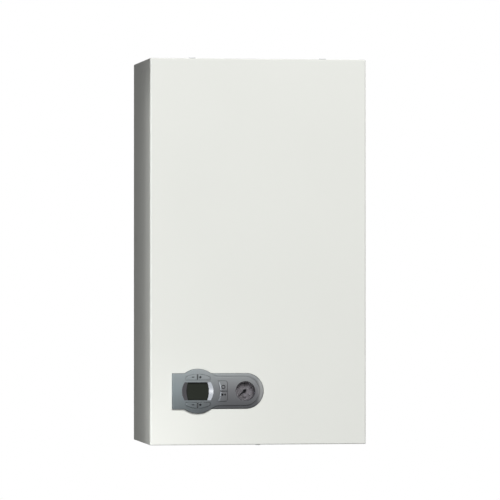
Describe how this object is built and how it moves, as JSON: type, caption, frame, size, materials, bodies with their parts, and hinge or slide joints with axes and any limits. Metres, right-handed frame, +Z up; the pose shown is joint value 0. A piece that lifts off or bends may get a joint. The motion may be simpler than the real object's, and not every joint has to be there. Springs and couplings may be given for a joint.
{
  "type": "combi boiler",
  "caption": "Wall-hung combi boiler with a pull-off sheet-steel casing, a keyhole control fascia with display, keys and gauge, and its burner, fan, pump and valves inside.",
  "frame": {"origin": "centre of the wall rail's back face, on the wall plane, 640 mm above the casing's lower edge", "axes": "+Y into the wall, +Z up, -Y is the front with the control fascia, -X is the fascia's side"},
  "size_m": [0.397, 0.2351, 0.7072],
  "materials": {
    "white_sheet": "satin white enamel on sheet steel",
    "galvanised": "galvanised sheet",
    "dark_steel": "zinc plated or cast, dull",
    "aluminium": "cast or pressed, matt",
    "brass": "forged, dull",
    "copper": null,
    "red_paint": "gloss paint",
    "black_plastic": "moulded",
    "grey_plastic": "moulded",
    "silver_plastic": "satin silver-grey paint on moulding",
    "white_plastic": "moulded",
    "blue_plastic": "moulded",
    "red_plastic": "moulded",
    "fibre_board": null,
    "ceramic": null,
    "rubber": "matt",
    "circuit": "laminate with parts",
    "display": "dark liquid crystal cell, off",
    "clear": "clear moulded lens",
    "dial": "printed dial"
  },
  "bodies": {
    "chassis": {"wall_rail": "dark_steel", "back_frame": "galvanised", "top_panel": "galvanised", "bottom_panel": "galvanised", "casing_screw": "dark_steel", "cable_gland": "black_plastic", "sealed_chamber": "galvanised", "chamber_cover": "galvanised", "flue_collar": "aluminium", "exhaust_tube": "aluminium", "burner": "galvanised", "gas_manifold": "copper", "combustion_chamber": "fibre_board", "main_heat_exchanger": "copper", "flue_hood": "aluminium", "fan_scroll": "aluminium", "fan_motor": "dark_steel", "air_pressure_switch": "white_plastic", "pressure_hose": "rubber", "ignition_electrode": "ceramic", "expansion_vessel": "red_paint", "vessel_hose": "galvanised", "flow_block": "brass", "diverter_motor": "black_plastic", "plate_heat_exchanger": "galvanised", "gas_valve": "aluminium", "flow_pipe": "copper", "return_pipe": "copper", "return_block": "brass", "pump_volute": "dark_steel", "pump_motor": "black_plastic", "flow_sensor": "brass", "filling_valve": "brass", "safety_valve": "brass", "heating_flow_union": "brass", "hot_water_union": "brass", "gas_union": "brass", "cold_water_union": "brass", "heating_return_union": "brass"},
    "casing": {"casing_shell": "white_sheet"},
    "control_box": {"box_tray": "grey_plastic", "box_lid": "grey_plastic", "circuit_board": "circuit", "lcd_display": "display", "fascia": "silver_plastic", "gauge_case": "dial", "gauge_glass": "clear"},
    "water_minus_button": {"water_minus_key": "silver_plastic"},
    "water_plus_button": {"water_plus_key": "silver_plastic"},
    "heating_minus_button": {"heating_minus_key": "silver_plastic"},
    "heating_plus_button": {"heating_plus_key": "silver_plastic"},
    "power_button": {"power_key": "silver_plastic"},
    "mode_button": {"mode_key": "silver_plastic"},
    "fan": {"fan_wheel": "aluminium"},
    "impeller": {"pump_impeller": "white_plastic"},
    "turbine": {"flow_turbine": "white_plastic"},
    "diverter": {"diverter_spindle": "galvanised"},
    "filling_tap": {"filling_knob": "blue_plastic"},
    "safety_tap": {"safety_knob": "red_plastic"},
    "needle": {"gauge_needle": "black_plastic"}
  },
  "joints": [
    {"name": "casing_pull", "type": "slide", "parent": "chassis", "child": "casing", "axis": [0, -1, 0], "range_m": [0, 0.45]},
    {"name": "control_box_fold", "type": "hinge", "parent": "chassis", "child": "control_box", "pos_m": [0, -0.2223, -0.594], "axis": [1, 0, 0], "range_deg": [0, 90]},
    {"name": "water_minus_press", "type": "slide", "parent": "control_box", "child": "water_minus_button", "axis": [0, 1, 0], "range_m": [0, 0.0012], "stiffness_N_per_m": 300},
    {"name": "water_plus_press", "type": "slide", "parent": "control_box", "child": "water_plus_button", "axis": [0, 1, 0], "range_m": [0, 0.0012], "stiffness_N_per_m": 300},
    {"name": "heating_minus_press", "type": "slide", "parent": "control_box", "child": "heating_minus_button", "axis": [0, 1, 0], "range_m": [0, 0.0012], "stiffness_N_per_m": 300},
    {"name": "heating_plus_press", "type": "slide", "parent": "control_box", "child": "heating_plus_button", "axis": [0, 1, 0], "range_m": [0, 0.0012], "stiffness_N_per_m": 300},
    {"name": "power_press", "type": "slide", "parent": "control_box", "child": "power_button", "axis": [0, 1, 0], "range_m": [0, 0.0012], "stiffness_N_per_m": 300},
    {"name": "mode_press", "type": "slide", "parent": "control_box", "child": "mode_button", "axis": [0, 1, 0], "range_m": [0, 0.0012], "stiffness_N_per_m": 300},
    {"name": "needle_turn", "type": "hinge", "parent": "control_box", "child": "needle", "pos_m": [-0.0247, -0.2225, -0.5425], "axis": [0, 1, 0], "range_deg": [0, 260], "stiffness_Nm_per_rad": 0.00005},
    {"name": "fan_spin", "type": "hinge", "parent": "chassis", "child": "fan", "pos_m": [-0.036, -0.14, -0.0678], "axis": [0, 1, 0], "continuous": true},
    {"name": "impeller_spin", "type": "hinge", "parent": "chassis", "child": "impeller", "pos_m": [0.128, -0.1, -0.4837], "axis": [0, 1, 0], "continuous": true},
    {"name": "turbine_spin", "type": "hinge", "parent": "chassis", "child": "turbine", "pos_m": [0.065, -0.085, -0.57], "axis": [0, 0, 1], "continuous": true},
    {"name": "diverter_slide", "type": "slide", "parent": "chassis", "child": "diverter", "axis": [0, 0, 1], "range_m": [0, 0.006]},
    {"name": "filling_turn", "type": "hinge", "parent": "chassis", "child": "filling_tap", "pos_m": [0.0975, -0.085, -0.62], "axis": [0, 0, 1], "range_deg": [0, 90]},
    {"name": "safety_turn", "type": "hinge", "parent": "chassis", "child": "safety_tap", "pos_m": [0.171, -0.14, -0.552], "axis": [0, 1, 0], "range_deg": [0, 90]}
  ],
  "couplings": [
    {"joint": "control_box_fold", "follows": "casing_pull", "rad_per_m": 3.49}
  ]
}
